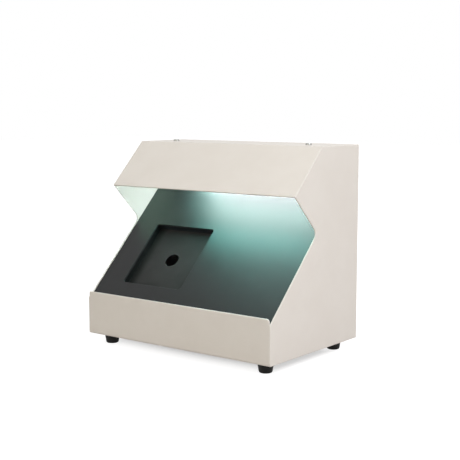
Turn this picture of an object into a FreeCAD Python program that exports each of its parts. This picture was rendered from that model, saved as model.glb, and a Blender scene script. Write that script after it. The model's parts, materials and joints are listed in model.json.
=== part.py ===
import FreeCAD, Part
import math
import os

from FreeCAD import Vector

# Bench viewing cabinet with a lamp under its hood and a sloping bed.
# Frame: +X to the right seen from the front, +Y to the back, +Z up, millimetres.
# The origin is the centre of the footprint, on the surface that the feet stand on.

# Cabinet
width = 300.0            # outside, left to right
depth = 196.0            # outside, front lip to rear edge
body_height = 255.0      # underside to top, without the feet
sheet = 1.5              # steel of the cabinet, its frame and its rear cover
bend_radius = 2.5        # outside radius of the folds
edge_round = 1.0         # rounding of the ground weld edges
lip_height = 57.0        # front lip above the underside
lip_corner_left = 1.5    # rounding of the lip's upper corners
lip_corner_right = 4.0
lip_edge = 0.5           # rounding along the lip's upper edge
notch_height = 49.0      # where the side wall leaves the lip
bed_run = 99.0           # horizontal run of the side wall's lower slope
hood_undercut = 49.0     # horizontal run of the slope under the hood
throat_radius = 8.0      # rounding of the deepest corner of the side cut-out
corner_trim = 0.6        # rounding of the plain corners of the side wall
slope = 45.0             # degrees, bed and hood slopes alike

# Rear cover
rear_recess = 4.0        # how far the cover lies inside the rear edge
frame_width = 14.0       # strip that the cover is screwed to
cover_gap = 0.5          # clearance round the cover
cover_corner = 2.0
vent_width = 3.5
vent_height = 36.0
vent_rounding = 0.49     # radius of a slot's ends, as a share of its width
vent_pitch = 11.0
upper_vents = 13
lower_vents = 7
upper_vent_drop = 62.0   # centre of the upper row below the top
lower_vent_rise = 48.0   # centre of the lower row above the underside
lower_vent_inset = 42.0  # first lower slot from the left wall

# Bed
bed_drop = 1.5           # bed face below the side walls' edge, square to the bed
bed_thickness = 2.0
bed_gap = 0.3            # clearance to the walls and to the lip
wire_gap = 10.0          # space between the bed's upper end and the rear frame
rail_leg = 14.0
rail_sheet = 1.5
rail_inset = 20.0        # rail ends from the bed's ends
stud_inset = 45.0        # bed studs from the bed's ends
stud_offset = 8.5        # bed studs from the side wall
stud_length = 9.0

# Sample recess in the bed
recess_size = 100.0
recess_depth = 10.0
recess_corner = 4.0
recess_centre_x = -59.0
recess_centre_u = 82.5   # along the slope from the notch
recess_edge = 0.3        # rounding of the recess's rim
tray_wall = 1.5
tray_flange = 8.0
port_diameter = 20.0

# Lamp: a 6 W miniature tube, 16 mm across
lamp_forward = 4.5       # tube axis in front of the middle of the reflector
tube_length = 212.0      # over the end caps, without the pins
glass_diameter = 15.4
glass_wall = 0.8
cap_diameter = 16.0
cap_length = 12.0
cap_wall = 0.6
glass_fit = 0.02         # radial clearance of the glass in its caps
pin_diameter = 2.35
pin_pitch = 4.75
pin_length = 7.0
holder_gap = 0.3         # between the tube's end and its holder
holder_thickness = 9.0
holder_width = 18.0
holder_drop = 21.0       # tube axis below the reflector
rotor_diameter = 12.0
rotor_thickness = 3.0
rotor_fit = 0.05         # radial running clearance of the rotor
pin_room = 0.6           # clearance round the turning pins
reflector_sheet = 0.8
reflector_gap = 5.0      # clearance to the hood face and to the screws of the rear cover
reflector_wing = 14.0
reflector_pitch = 40.0   # degrees, slope of the wings
reflector_overhang = 14.0  # past the lamp screws, each end
insert_diameter = 5.6
insert_length = 7.0

# Rubber feet
foot_height = 14.0
foot_top = 21.0
foot_bottom = 16.4
foot_round = 2.2
foot_inset = 22.0        # foot axis from the cabinet's sides
foot_well = 9.4          # counterbore for the screw head
foot_well_depth = 6.5
washer_thickness = 1.0

# Fasteners: thread, clearance hole, head, head height, nut across flats, nut height
thread_large = 4.0
hole_large = 4.5
head_large = 8.0
head_height_large = 2.6
nut_large = 7.0
nut_height_large = 3.2
thread_small = 3.0
hole_small = 3.4
head_small = 5.6
head_height_small = 2.2
nut_small = 5.5
nut_height_small = 2.4
thread_fit = 0.05        # radial clearance between a shank and its thread
screw_tail = 2.0         # shank past its nut
head_dome = 0.6          # rounding of a screw head, as a share of its height
recess_blade = 0.9       # width of the cross recess in a screw head
recess_span = 0.55       # length of the cross recess, as a share of the head
recess_sink = 0.5        # depth of the cross recess, as a share of the head's height
clinch_diameter = 6.5    # captive nuts behind the rear frame
clinch_height = 3.0

# Mains inlet with a fuse drawer, on the rear cover
inlet_from_right = 62.0
inlet_rise = 50.0        # centre above the underside
flange_width = 50.0
flange_height = 38.0
flange_thickness = 3.0
flange_corner = 4.0
flange_edge = 0.8
inlet_width = 28.0
inlet_height = 34.0
inlet_depth = 29.0       # behind the cover's outer face
inlet_screw_pitch = 40.0
panel_fit = 0.3          # clearance of the panel cut-outs
socket_width = 24.4
socket_height = 16.6
socket_chamfer = 4.5
socket_depth = 16.5
socket_rise = 6.0        # socket centre above the inlet's centre
blade_height = 4.0
blade_thickness = 2.0
blade_pitch = 7.0        # live and neutral from the earth blade, sideways
earth_rise = 4.0         # earth blade above the other two
blade_sink = 5.0         # blade tips below the flange face
blade_fit = 0.02
tag_length = 8.0
drawer_drop = 12.0       # drawer centre below the inlet's centre
drawer_face_width = 22.0
drawer_face_height = 8.0
drawer_face_thickness = 2.2
drawer_width = 18.0
drawer_height = 7.0
drawer_length = 26.0
drawer_fit = 0.25
drawer_grip = 8.0
grip_depth = 1.0
grip_height = 1.6
fuse_diameter = 5.0
fuse_length = 20.0
fuse_cap_length = 5.0
fuse_glass_diameter = 4.5
fuse_glass_wall = 0.5
fuse_room = 0.3

# Rocker switch, on the rear cover
switch_from_inlet = 50.0
bezel_width = 22.0
bezel_height = 31.0
bezel_thickness = 2.0
bezel_corner = 2.0
bezel_edge = 0.6
switch_width = 19.0
switch_height = 27.4
switch_depth = 20.0
well_width = 15.4
rocker_width = 14.8
rocker_reach = 12.0      # pivot to the rocker's ends
rocker_clearance = 0.35
pivot_sink = 3.0         # pivot below the bezel's face
rocker_rise = 3.6        # pivot to the middle of the rocker's face
rocker_keel = 4.0        # pivot to the rocker's underside
rocker_tilt = 10.0       # degrees either side of level
rocker_pin = 2.4
rocker_pin_length = 1.2
pin_fit = 0.05
switch_tag_spread = 5.0
switch_tag_rise = 7.0
switch_tag_width = 4.8
switch_tag_thickness = 0.8

# Ballast on the floor of the cabinet
ballast_x = -38.0
ballast_from_rear = 62.0
ballast_length = 90.0
ballast_width = 36.0
ballast_height = 24.0
ballast_round = 2.0
ballast_plate = 1.2
ballast_ear = 10.0
ballast_hole_inset = 8.0
terminal_length = 9.0
terminal_width = 30.0
terminal_height = 13.0
terminal_rise = 4.0
terminal_pitch = 6.0
lamp_terminals = 4

# Earth point on the floor of the cabinet
earth_from_rear = 84.0
earth_stud_length = 12.0
ring_diameter = 9.0
ring_thickness = 0.8
ring_barrel = 4.0        # outside of the crimped barrel
ring_barrel_length = 8.0

# Inside wiring
mains_lead = 2.4
lamp_lead = 1.8
lead_bend = 14.0         # largest bend radius
bend_share = 0.45        # share of the shorter run that a bend may take
loop_step = 12.0         # how far one lead's loop clears the next
lead_straight = 18.0     # stretch out of a tag or a terminal before the first bend
lead_step = 3.6          # spacing of the lamp leads beside one another
lead_clear = 5.0         # lamp leads in front of the rear frame

# Values that follow from those above
cos_slope = math.cos(math.radians(slope))
sin_slope = math.sin(math.radians(slope))
tan_slope = math.tan(math.radians(slope))
left, right = -width / 2, width / 2
front, rear = -depth / 2, depth / 2
under = foot_height
top = under + body_height
inside = width / 2 - sheet
floor_inside = under + sheet
roof_inside = top - sheet
throat = (front + bed_run, under + notch_height + bed_run * tan_slope)
brow = (throat[0] - hood_undercut, throat[1] + hood_undercut * tan_slope)
crown = (brow[0] + (top - brow[1]) / tan_slope, top)
cover_face = rear - rear_recess
frame_back = cover_face - sheet
frame_front = frame_back - sheet
bed_origin = Vector(
    0,
    front + bed_drop * sin_slope,
    under + notch_height - bed_drop * cos_slope,
)
bed_low = (sheet + bed_gap - bed_drop * sin_slope) / cos_slope
bed_high = (
    frame_front - wire_gap - bed_origin.y - bed_thickness * sin_slope
) / cos_slope
wing_run = reflector_wing * math.cos(math.radians(reflector_pitch))
wing_fall = reflector_wing * math.sin(math.radians(reflector_pitch))
reflector_front = crown[0] - (sheet + wing_fall) / tan_slope + sheet / sin_slope + reflector_gap
reflector_rear = frame_front - clinch_height - screw_tail - reflector_gap
lamp_y = (reflector_front + reflector_rear) / 2 - lamp_forward
reflector_under = roof_inside - reflector_sheet
lamp_z = reflector_under - holder_drop
holder_face = tube_length / 2 + holder_gap
lamp_screw_x = holder_face + holder_thickness / 2
inlet_x = right - inlet_from_right
inlet_z = under + inlet_rise
socket_z = inlet_z + socket_rise
switch_x = inlet_x - switch_from_inlet
ballast_y = rear - ballast_from_rear
terminal_z = floor_inside + ballast_plate + terminal_rise + terminal_height / 2
earth_x = inlet_x
earth_y = rear - earth_from_rear
nearby = 1e-4            # distance under which two places are the same
X_AXIS, Y_AXIS, Z_AXIS = Vector(1, 0, 0), Vector(0, 1, 0), Vector(0, 0, 1)


# Shared shapes

def rounded_wire(corners, place):
    """Closed wire through corners (u, v, radius), with tangent arcs; place(u, v) gives a point."""
    stops = []
    for i, (u, v, radius) in enumerate(corners):
        here = Vector(u, v, 0)
        back = Vector(*corners[i - 1][:2], 0) - here
        ahead = Vector(*corners[(i + 1) % len(corners)][:2], 0) - here
        back.normalize()
        ahead.normalize()
        half = back.getAngle(ahead) / 2
        bisector = back + ahead
        bisector.normalize()
        reach = radius / math.tan(half)
        inset = radius / math.sin(half) - radius
        stops.append((here + back * reach, here + bisector * inset, here + ahead * reach))
    edges = []
    for i, (enter, middle, leave) in enumerate(stops):
        points = [place(p.x, p.y) for p in (enter, middle, leave)]
        if corners[i][2] > 0:
            edges.append(Part.Arc(*points).toShape())
        following = stops[(i + 1) % len(stops)][0]
        following = place(following.x, following.y)
        if points[2].distanceToPoint(following) > nearby:
            edges.append(Part.LineSegment(points[2], following).toShape())
    return Part.Wire(edges)


def prism(corners, plane, low, high):
    """Solid between two levels, with a rounded outline in the plane named by its two axes."""
    places = {
        "xy": (lambda u, v: Vector(u, v, low), Z_AXIS),
        "xz": (lambda u, v: Vector(u, low, v), Y_AXIS),
        "yz": (lambda u, v: Vector(low, u, v), X_AXIS),
    }
    place, normal = places[plane]
    face = Part.Face(rounded_wire(corners, place))
    return face.extrude(normal * (high - low))


def rectangle(centre_u, centre_v, size_u, size_v, radius=0.0):
    half_u, half_v = size_u / 2, size_v / 2
    signs = [(-1, -1), (1, -1), (1, 1), (-1, 1)]
    return [(centre_u + a * half_u, centre_v + b * half_v, radius) for a, b in signs]


def box(x0, x1, y0, y1, z0, z1):
    return Part.makeBox(x1 - x0, y1 - y0, z1 - z0, Vector(x0, y0, z0))


def rod(start, end, diameter):
    run = end - start
    return Part.makeCylinder(diameter / 2, run.Length, start, run)


def moved(shape, placement):
    placed = shape.copy()
    placed.Placement = placement.multiply(shape.Placement)
    return placed


def turned(shape, origin, axis):
    """The shape with its +Z turned to axis and its origin moved to a point."""
    return moved(shape, FreeCAD.Placement(origin, FreeCAD.Rotation(Z_AXIS, axis)))


def on_bed(shape):
    """The shape moved from bed coordinates (x, along the slope, square to the bed)."""
    return moved(shape, FreeCAD.Placement(bed_origin, FreeCAD.Rotation(X_AXIS, slope)))


def group(shapes):
    return Part.makeCompound(list(shapes))


def edges_on(shape, axis, level):
    """Edges that lie in the plane where that axis has that level."""
    found = []
    for edge in shape.Edges:
        span = edge.BoundBox
        low, high = getattr(span, axis + "Min"), getattr(span, axis + "Max")
        if abs(low - level) < nearby and abs(high - level) < nearby:
            found.append(edge)
    return found


def folded(path, thickness, radius):
    """Corners of a folded sheet: the outside path, then the inside path back, offset to its left."""
    inner = []
    lines = []
    for (u0, v0), (u1, v1) in zip(path, path[1:]):
        length = math.hypot(u1 - u0, v1 - v0)
        across = (-(v1 - v0) / length * thickness, (u1 - u0) / length * thickness)
        lines.append(((u0 + across[0], v0 + across[1]), (u1 - u0, v1 - v0), across))
    inner.append(lines[0][0])
    for (point, run, _), (other, other_run, _) in zip(lines, lines[1:]):
        cross = run[0] * other_run[1] - run[1] * other_run[0]
        gap = (other[0] - point[0], other[1] - point[1])
        share = (gap[0] * other_run[1] - gap[1] * other_run[0]) / cross
        inner.append((point[0] + share * run[0], point[1] + share * run[1]))
    across = lines[-1][2]
    inner.append((path[-1][0] + across[0], path[-1][1] + across[1]))
    ends = {0, len(path) - 1}
    outside, inside_radii = [], []
    for i, point in enumerate(path):
        turn = fold_sense(path, i)
        wide = 0.0 if i in ends else radius
        tight = 0.0 if i in ends else max(radius - thickness, 0.0)
        outside.append((*point, wide if turn >= 0 else tight))
        inside_radii.append(tight if turn >= 0 else wide)
    inside_corners = [(*p, r) for p, r in zip(inner, inside_radii)]
    return outside + inside_corners[::-1]


def fold_sense(path, i):
    """Positive where the path turns left at point i, towards the offset side."""
    if i in (0, len(path) - 1):
        return 0
    (u0, v0), (u1, v1), (u2, v2) = path[i - 1:i + 2]
    return (u1 - u0) * (v2 - v1) - (v1 - v0) * (u2 - u1)


def pan_screw(thread, length, head, head_height):
    """Screw along Z: head above z = 0, shank below, cross recess in the head."""
    cap = Part.makeCylinder(head / 2, head_height)
    cap = cap.makeFillet(head_height * head_dome, edges_on(cap, "Z", head_height))
    blade, sink = head * recess_span, head_height * recess_sink
    for size_x, size_y in ((blade, recess_blade), (recess_blade, blade)):
        slot = box(-size_x / 2, size_x / 2, -size_y / 2, size_y / 2, head_height - sink, head_height)
        cap = cap.cut(slot)
    shank = Part.makeCylinder(thread / 2 - thread_fit, length, Vector(0, 0, -length))
    return cap.fuse(shank)


def hex_nut(flats, height, thread):
    """Nut along Z, from z = 0 upwards."""
    radius = flats / 2 / math.cos(math.pi / 6)
    angles = [i * math.pi / 3 for i in range(6)]
    points = [(radius * math.cos(angle), radius * math.sin(angle), 0.0) for angle in angles]
    return prism(points, "xy", 0, height).cut(Part.makeCylinder(thread / 2, height))


def washer(outside, thickness, hole):
    return Part.makeCylinder(outside / 2, thickness).cut(Part.makeCylinder(hole / 2, thickness))


def lead(points, diameter):
    """Wire along straight runs joined by tangent arcs; prints its tightest bend."""
    edges, here, tightest = [], points[0], lead_bend
    for before, corner, after in zip(points, points[1:], points[2:]):
        back, ahead = before - corner, after - corner
        shorter = min(back.Length, ahead.Length)
        back.normalize()
        ahead.normalize()
        half_turn = (math.pi - back.getAngle(ahead)) / 2
        radius = min(lead_bend, bend_share * shorter / math.tan(half_turn))
        reach = radius * math.tan(half_turn)
        bisector = back + ahead
        bisector.normalize()
        enter, leave = corner + back * reach, corner + ahead * reach
        middle = corner + bisector * (radius / math.cos(half_turn) - radius)
        edges.append(Part.LineSegment(here, enter).toShape())
        edges.append(Part.Arc(enter, middle, leave).toShape())
        here = leave
        tightest = min(tightest, radius)
    edges.append(Part.LineSegment(here, points[-1]).toShape())
    path = Part.Wire(edges)
    section = Part.Wire(Part.makeCircle(diameter / 2, points[0], points[1] - points[0]))
    wire = path.makePipeShell([section], True, False)
    expected = math.pi * diameter ** 2 / 4 * path.Length
    share = wire.Volume / expected
    print(f"lead {path.Length:.0f} mm long, tightest bend {tightest:.1f}, volume share {share:.4f}")
    return wire


# Cabinet panels

def side_panel(side):
    """Flat side wall with its cut-out; side is -1 for the left wall and 1 for the right."""
    corners = [
        (front, under, bend_radius),
        (rear, under, edge_round),
        (rear, top, edge_round),
        (*crown, bend_radius),
        (*brow, corner_trim),
        (*throat, throat_radius),
        (front, under + notch_height, corner_trim),
    ]
    low, high = sorted((side * inside, side * width / 2))
    plate = prism(corners, "yz", low, high)
    return plate.makeFillet(edge_round, edges_on(plate, "X", side * width / 2))


def hood_top_panel():
    """Top and sloping hood face, folded from one sheet."""
    path = [(rear, top), crown, brow]
    panel = prism(folded(path, sheet, bend_radius), "yz", -inside, inside)
    rear_edge = [edge for edge in edges_on(panel, "Y", rear) if abs(edge.BoundBox.ZMin - top) < nearby]
    panel = panel.makeFillet(edge_round, rear_edge)
    panel = panel.makeFillet(corner_trim, edges_on(panel, "Y", brow[0]))
    for x in (-lamp_screw_x, lamp_screw_x):
        panel = panel.cut(rod(Vector(x, lamp_y, roof_inside), Vector(x, lamp_y, top), hole_large))
    return panel


def base_tray():
    """Floor and front lip, folded from one sheet."""
    lip_top = under + lip_height
    path = [(front, lip_top), (front, under), (rear, under)]
    tray = prism(folded(path, sheet, bend_radius), "yz", -inside, inside)
    for end, rounding in ((-inside, lip_corner_left), (inside, lip_corner_right)):
        corner = [edge for edge in edges_on(tray, "X", end) if edge.BoundBox.ZMin > lip_top - nearby]
        tray = tray.makeFillet(rounding, corner)
    rim = [edge for edge in edges_on(tray, "Y", front) if edge.BoundBox.ZMax > lip_top - nearby]
    tray = tray.makeFillet(lip_edge, rim)
    rear_edge = [edge for edge in edges_on(tray, "Y", rear) if abs(edge.BoundBox.ZMax - under) < nearby]
    tray = tray.makeFillet(edge_round, rear_edge)
    holes = [(x, y, hole_large) for x, y in foot_places()]
    holes += [(x, y, hole_small) for x, y in ballast_holes()]
    for x, y, hole in holes:
        tray = tray.cut(rod(Vector(x, y, under), Vector(x, y, floor_inside), hole))
    return tray


def cover_screw_places():
    """Eight places round the middle of the rear frame's strips, as (x, z)."""
    reach_x = inside - frame_width / 2
    low = floor_inside + frame_width / 2
    high = roof_inside - frame_width / 2
    middle = (low + high) / 2
    rows = [(low, (-1, 0, 1)), (middle, (-1, 1)), (high, (-1, 0, 1))]
    return [(side * reach_x, z) for z, sides in rows for side in sides]


def rear_frame():
    """Ring welded inside the rear opening, which the cover is screwed to."""
    middle = (floor_inside + roof_inside) / 2
    height = roof_inside - floor_inside
    ring = prism(rectangle(0, middle, 2 * inside, height), "xz", frame_front, frame_back)
    window = rectangle(0, middle, 2 * (inside - frame_width), height - 2 * frame_width, cover_corner)
    ring = ring.cut(prism(window, "xz", frame_front, frame_back))
    for x, z in cover_screw_places():
        ring = ring.cut(rod(Vector(x, frame_front, z), Vector(x, frame_back, z), hole_small))
    return ring


def vent_places():
    """Centres of the ventilation slots in the rear cover, as (x, z)."""
    upper = [((i - (upper_vents - 1) / 2) * vent_pitch, top - upper_vent_drop) for i in range(upper_vents)]
    first = left + lower_vent_inset
    lower = [(first + i * vent_pitch, under + lower_vent_rise) for i in range(lower_vents)]
    return upper + lower


def rear_cover():
    """Flat cover with its ventilation slots and the cut-outs for the inlet and the switch."""
    middle = (floor_inside + roof_inside) / 2
    size_x = 2 * (inside - cover_gap)
    size_z = roof_inside - floor_inside - 2 * cover_gap
    plate = prism(rectangle(0, middle, size_x, size_z, cover_corner), "xz", frame_back, cover_face)
    slot_end = vent_width * vent_rounding
    cuts = [prism(rectangle(x, z, vent_width, vent_height, slot_end), "xz", frame_back, cover_face)
            for x, z in vent_places()]
    for x, z, size_u, size_v in (
        (inlet_x, inlet_z, inlet_width, inlet_height),
        (switch_x, inlet_z, switch_width, switch_height),
    ):
        hole = rectangle(x, z, size_u + 2 * panel_fit, size_v + 2 * panel_fit)
        cuts.append(prism(hole, "xz", frame_back, cover_face))
    places = cover_screw_places() + inlet_screw_places()
    cuts += [rod(Vector(x, frame_back, z), Vector(x, cover_face, z), hole_small) for x, z in places]
    return plate.cut(group(cuts))


def rear_cover_screws():
    length = 2 * sheet + clinch_height + screw_tail
    screw = pan_screw(thread_small, length, head_small, head_height_small)
    return group(turned(screw, Vector(x, cover_face, z), Y_AXIS) for x, z in cover_screw_places())


def rear_cover_nuts():
    """Captive nuts pressed into the front of the rear frame."""
    nut = washer(clinch_diameter, clinch_height, thread_small)
    return group(turned(nut, Vector(x, frame_front, z), -Y_AXIS) for x, z in cover_screw_places())


# Bed and sample recess

def bed_stud_places():
    """Studs under the bed, as (x, distance along the slope)."""
    reach = inside - stud_offset
    return [(side * reach, u) for side in (-1, 1) for u in (bed_low + stud_inset, bed_high - stud_inset)]


def recess_outline(grow):
    size = recess_size + 2 * grow
    return rectangle(recess_centre_x, recess_centre_u, size, size, recess_corner + grow)


def bed_panel():
    """Sloping panel with the square window of the sample recess."""
    half = inside - bed_gap
    plate = box(-half, half, bed_low, bed_high, -bed_thickness, 0)
    plate = plate.cut(prism(recess_outline(0), "xy", -bed_thickness, 0))
    rim = []
    for edge in edges_on(plate, "Z", 0):
        middle = edge.BoundBox.Center - Vector(recess_centre_x, recess_centre_u, 0)
        if max(abs(middle.x), abs(middle.y)) < recess_size / 2 + nearby:
            rim.append(edge)
    return on_bed(plate.makeFillet(recess_edge, rim))


def recess_tray():
    """Shallow tray welded under the window, with a round port in its floor."""
    rim = -bed_thickness
    tray = prism(recess_outline(tray_wall), "xy", -recess_depth - tray_wall, rim)
    tray = tray.fuse(prism(recess_outline(tray_wall + tray_flange), "xy", rim - tray_wall, rim))
    tray = tray.cut(prism(recess_outline(0), "xy", -recess_depth, rim))
    centre = Vector(recess_centre_x, recess_centre_u, 0)
    port = rod(centre - Z_AXIS * (recess_depth + tray_wall), centre - Z_AXIS * recess_depth, port_diameter)
    return on_bed(tray.cut(port).removeSplitter())


def bed_rail(side):
    """Angle strip along the side wall, under the bed's edge."""
    rim = -bed_thickness
    low, high = bed_low + rail_inset, bed_high - rail_inset
    legs = [
        (sorted((side * (inside - rail_leg), side * inside)), (rim - rail_sheet, rim)),
        (sorted((side * (inside - rail_sheet), side * inside)), (rim - rail_leg, rim)),
    ]
    shapes = [box(x0, x1, low, high, z0, z1) for (x0, x1), (z0, z1) in legs]
    rail = shapes[0].fuse(shapes[1]).removeSplitter()
    for x, u in bed_stud_places():
        if x * side > 0:
            rail = rail.cut(rod(Vector(x, u, rim - rail_sheet), Vector(x, u, rim), hole_large))
    return on_bed(rail)


def bed_studs():
    rim = -bed_thickness
    return group(
        on_bed(rod(Vector(x, u, rim - stud_length), Vector(x, u, rim), thread_large - 2 * thread_fit))
        for x, u in bed_stud_places()
    )


def bed_nuts():
    nut = hex_nut(nut_large, nut_height_large, thread_large)
    seat = -bed_thickness - rail_sheet - nut_height_large
    return group(on_bed(turned(nut, Vector(x, u, seat), Z_AXIS)) for x, u in bed_stud_places())


# Lamp

def lamp_reflector():
    """Trough between the roof and the lamp holders."""
    reach = lamp_screw_x + reflector_overhang
    path = [
        (reflector_rear, roof_inside - wing_fall),
        (reflector_rear - wing_run, roof_inside),
        (reflector_front + wing_run, roof_inside),
        (reflector_front, roof_inside - wing_fall),
    ]
    trough = prism(folded(path, reflector_sheet, 2 * reflector_sheet), "yz", -reach, reach)
    for x in (-lamp_screw_x, lamp_screw_x):
        seat = Vector(x, lamp_y, reflector_under)
        trough = trough.cut(rod(seat, seat + Z_AXIS * reflector_sheet, hole_large))
    return trough


def lamp_holder(side):
    """Holder with its rotor seat, pin chamber and entry slot."""
    half = holder_width / 2
    inner, outer = side * holder_face, side * (holder_face + holder_thickness)
    low, high = sorted((inner, outer))
    block = box(low, high, lamp_y - half, lamp_y + half, lamp_z, reflector_under)
    nose = rod(Vector(low, lamp_y, lamp_z), Vector(high, lamp_y, lamp_z), holder_width)
    block = block.fuse(nose).removeSplitter()
    axis = Vector(inner, lamp_y, lamp_z)
    reach = pin_length + pin_room
    chamber = pin_pitch + pin_diameter + 2 * pin_room
    seat_depth = rotor_thickness + rotor_fit
    seat = rotor_diameter + 2 * rotor_fit
    block = block.cut(rod(axis, axis + X_AXIS * side * seat_depth, seat))
    block = block.cut(rod(axis, axis + X_AXIS * side * reach, chamber))
    slot_low, slot_high = sorted((inner, inner + side * reach))
    entry = pin_diameter / 2 + pin_room / 2
    block = block.cut(box(slot_low, slot_high, lamp_y - entry, lamp_y + entry, lamp_z - half, lamp_z))
    x = side * lamp_screw_x
    mouth = Vector(x, lamp_y, reflector_under)
    block = block.cut(rod(mouth - Z_AXIS * insert_length, mouth, insert_diameter + 2 * thread_fit))
    return block.cut(rod(mouth - Z_AXIS * lamp_screw_reach(), mouth, hole_large))


def lamp_screw_reach():
    """Depth of the lamp screw's hole in its holder."""
    return insert_length + screw_tail


def holder_inserts():
    insert = washer(insert_diameter, insert_length, thread_large)
    foot = reflector_under - insert_length
    return group(turned(insert, Vector(x, lamp_y, foot), Z_AXIS) for x in (-lamp_screw_x, lamp_screw_x))


def top_screws():
    length = sheet + reflector_sheet + insert_length
    screw = pan_screw(thread_large, length, head_large, head_height_large)
    return group(turned(screw, Vector(x, lamp_y, top), Z_AXIS) for x in (-lamp_screw_x, lamp_screw_x))


def lamp_rotor(side):
    """Disc that turns with the tube's pins in the holder."""
    start = Vector(side * holder_face, lamp_y, lamp_z)
    end = start + X_AXIS * side * rotor_thickness
    disc = rod(start, end, rotor_diameter)
    low, high = sorted((start.x, end.x))
    half_slot = (pin_pitch + pin_diameter) / 2 + pin_fit
    half_pin = pin_diameter / 2 + pin_fit
    slot = box(low, high, lamp_y - half_slot, lamp_y + half_slot, lamp_z - half_pin, lamp_z + half_pin)
    return disc.cut(slot)


def tube_glass():
    reach = tube_length / 2 - cap_wall
    ends = Vector(-reach, lamp_y, lamp_z), Vector(reach, lamp_y, lamp_z)
    return rod(*ends, glass_diameter).cut(rod(*ends, glass_diameter - 2 * glass_wall))


def tube_cap(side):
    """Metal end cap with its two contact pins."""
    face = Vector(side * tube_length / 2, lamp_y, lamp_z)
    inward = X_AXIS * -side
    cup = rod(face + inward * cap_length, face, cap_diameter)
    bore = glass_diameter + 2 * glass_fit
    cup = cup.cut(rod(face + inward * cap_length, face + inward * cap_wall, bore))
    pins = [rod(face + Y_AXIS * y, face + Y_AXIS * y - inward * pin_length, pin_diameter)
            for y in (-pin_pitch / 2, pin_pitch / 2)]
    return group([cup, *pins])


# Feet

def foot_places():
    """Foot axes, as (x, y): front left, front right, rear left, rear right."""
    columns = (left + foot_inset, right - foot_inset)
    return [(x, y) for y in (front + foot_inset, rear - foot_inset) for x in columns]


def rubber_foot(x, y):
    """Tapered foot with a well for its screw."""
    body = Part.makeCone(foot_bottom / 2, foot_top / 2, foot_height)
    body = body.makeFillet(foot_round, edges_on(body, "Z", 0))
    body = body.cut(Part.makeCylinder(foot_well / 2, foot_well_depth))
    body = body.cut(Part.makeCylinder(hole_large / 2, foot_height))
    return turned(body, Vector(x, y, 0), Z_AXIS)


def foot_washers():
    ring = washer(foot_well - 4 * thread_fit, washer_thickness, hole_large)
    seat = foot_well_depth - washer_thickness
    return group(turned(ring, Vector(x, y, seat), Z_AXIS) for x, y in foot_places())


def foot_screws():
    seat = foot_well_depth - washer_thickness
    length = floor_inside - seat + nut_height_large + screw_tail
    screw = pan_screw(thread_large, length, head_large, head_height_large)
    return group(turned(screw, Vector(x, y, seat), -Z_AXIS) for x, y in foot_places())


def foot_nuts():
    nut = hex_nut(nut_large, nut_height_large, thread_large)
    return group(turned(nut, Vector(x, y, floor_inside), Z_AXIS) for x, y in foot_places())


# Mains inlet

def inlet_screw_places():
    return [(inlet_x + side * inlet_screw_pitch / 2, inlet_z) for side in (-1, 1)]


def blade_places():
    """Blade centres, as (x, z): live, earth, neutral."""
    return [
        (inlet_x - blade_pitch, socket_z - earth_rise / 2),
        (inlet_x, socket_z + earth_rise / 2),
        (inlet_x + blade_pitch, socket_z - earth_rise / 2),
    ]


def inlet_body():
    """Moulded inlet: flange, socket and the slot of the fuse drawer."""
    face = cover_face + flange_thickness
    back = cover_face - inlet_depth
    plate = rectangle(inlet_x, inlet_z, flange_width, flange_height, flange_corner)
    flange = prism(plate, "xz", cover_face, face)
    flange = flange.makeFillet(flange_edge, edges_on(flange, "Y", face))
    block = rectangle(inlet_x, inlet_z, inlet_width, inlet_height)
    body = flange.fuse(prism(block, "xz", back, cover_face))
    half_x, half_z, cut = socket_width / 2, socket_height / 2, socket_chamfer
    corners = [(-half_x, -half_z), (half_x, -half_z), (half_x, half_z - cut), (half_x - cut, half_z),
               (cut - half_x, half_z), (-half_x, half_z - cut)]
    socket = [(inlet_x + u, socket_z + v, 0.0) for u, v in corners]
    cuts = [prism(socket, "xz", face - socket_depth, face)]
    for x, z in blade_places():
        slot = rectangle(x, z, blade_thickness + 2 * blade_fit, blade_height + 2 * blade_fit)
        cuts.append(prism(slot, "xz", back, face - socket_depth))
    drawer_z = inlet_z - drawer_drop
    room = 2 * drawer_fit
    mouth = rectangle(inlet_x, drawer_z, drawer_face_width + room, drawer_face_height + room)
    cuts.append(prism(mouth, "xz", face - drawer_face_thickness, face))
    slot = rectangle(inlet_x, drawer_z, drawer_width + room, drawer_height + room)
    cuts.append(prism(slot, "xz", face - drawer_length - drawer_fit, face))
    cuts += [rod(Vector(x, cover_face, z), Vector(x, face, z), hole_small) for x, z in inlet_screw_places()]
    return body.cut(group(cuts)).removeSplitter()


def inlet_blades():
    tip = cover_face + flange_thickness - blade_sink
    end = cover_face - inlet_depth - tag_length
    outlines = [rectangle(x, z, blade_thickness, blade_height) for x, z in blade_places()]
    return group(prism(outline, "xz", end, tip) for outline in outlines)


def inlet_screws():
    length = flange_thickness + sheet + nut_height_small + screw_tail
    screw = pan_screw(thread_small, length, head_small, head_height_small)
    seat = cover_face + flange_thickness
    return group(turned(screw, Vector(x, seat, z), Y_AXIS) for x, z in inlet_screw_places())


def inlet_nuts():
    nut = hex_nut(nut_small, nut_height_small, thread_small)
    return group(turned(nut, Vector(x, frame_back, z), -Y_AXIS) for x, z in inlet_screw_places())


def fuse_axis():
    """Start and direction of the fuse in its drawer."""
    face = cover_face + flange_thickness
    start = Vector(inlet_x, face - drawer_length + 2 * fuse_room + fuse_glass_wall, inlet_z - drawer_drop)
    return start, Y_AXIS


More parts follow.
